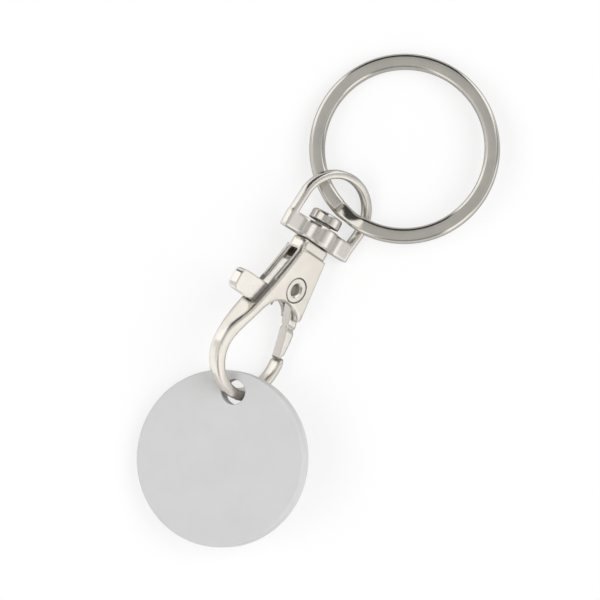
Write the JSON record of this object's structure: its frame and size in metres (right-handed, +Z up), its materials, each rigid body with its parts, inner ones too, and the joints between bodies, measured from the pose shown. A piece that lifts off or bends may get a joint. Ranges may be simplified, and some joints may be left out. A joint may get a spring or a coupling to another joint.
{
  "type": "trolley coin keyring",
  "caption": "Swivel snap hook that carries a blank trolley coin through its hole, with a split ring for keys on the swivel loop, lying flat.",
  "frame": {"origin": "middle of the keyring's outline, on the table that it lies on", "axes": "+Z up from the table, +Y along the keyring from the coin to the split ring"},
  "size_m": [0.025, 0.0712, 0.0121],
  "materials": {
    "nickel_casting": "nickel plate over a zinc casting, satin on the flats and bright on the edges",
    "nickel_steel": "bright nickel plate over steel",
    "spring_steel": "drawn spring wire",
    "coin_plastic": "matte pale grey"
  },
  "bodies": {
    "clasp": {"clasp_body": "nickel_casting", "swivel_rivet": "nickel_steel", "pivot_rivet": "nickel_steel", "gate_spring": "spring_steel"},
    "gate": {"gate_lever": "nickel_casting"},
    "loop": {"swivel_loop": "nickel_casting"},
    "ring": {"split_ring": "nickel_steel"},
    "coin": {"trolley_coin": "coin_plastic"}
  },
  "joints": [
    {"name": "gate_pivot", "type": "hinge", "parent": "clasp", "child": "gate", "pos_m": [-0.00453, -0.00017, 0.0045], "axis": [-0.7193, -0.0581, -0.6922], "range_deg": [0, 40], "stiffness_Nm_per_rad": 0.01, "springref_deg": -22.92},
    {"name": "loop_swivel", "type": "hinge", "parent": "clasp", "child": "loop", "pos_m": [-0.00453, -0.00017, 0.0045], "axis": [0, 0.9965, -0.0837], "continuous": true},
    {"name": "ring_swing", "type": "hinge", "parent": "loop", "child": "ring", "pos_m": [-0.00501, 0.01276, 0.00265], "axis": [0.8951, -0.4335, 0.1043], "range_deg": [0, 90]},
    {"name": "coin_swing", "type": "hinge", "parent": "clasp", "child": "coin", "pos_m": [-0.00387, -0.01552, 0.0051], "axis": [-0.3116, -0.1196, 0.9426], "range_deg": [-50, 50]}
  ]
}
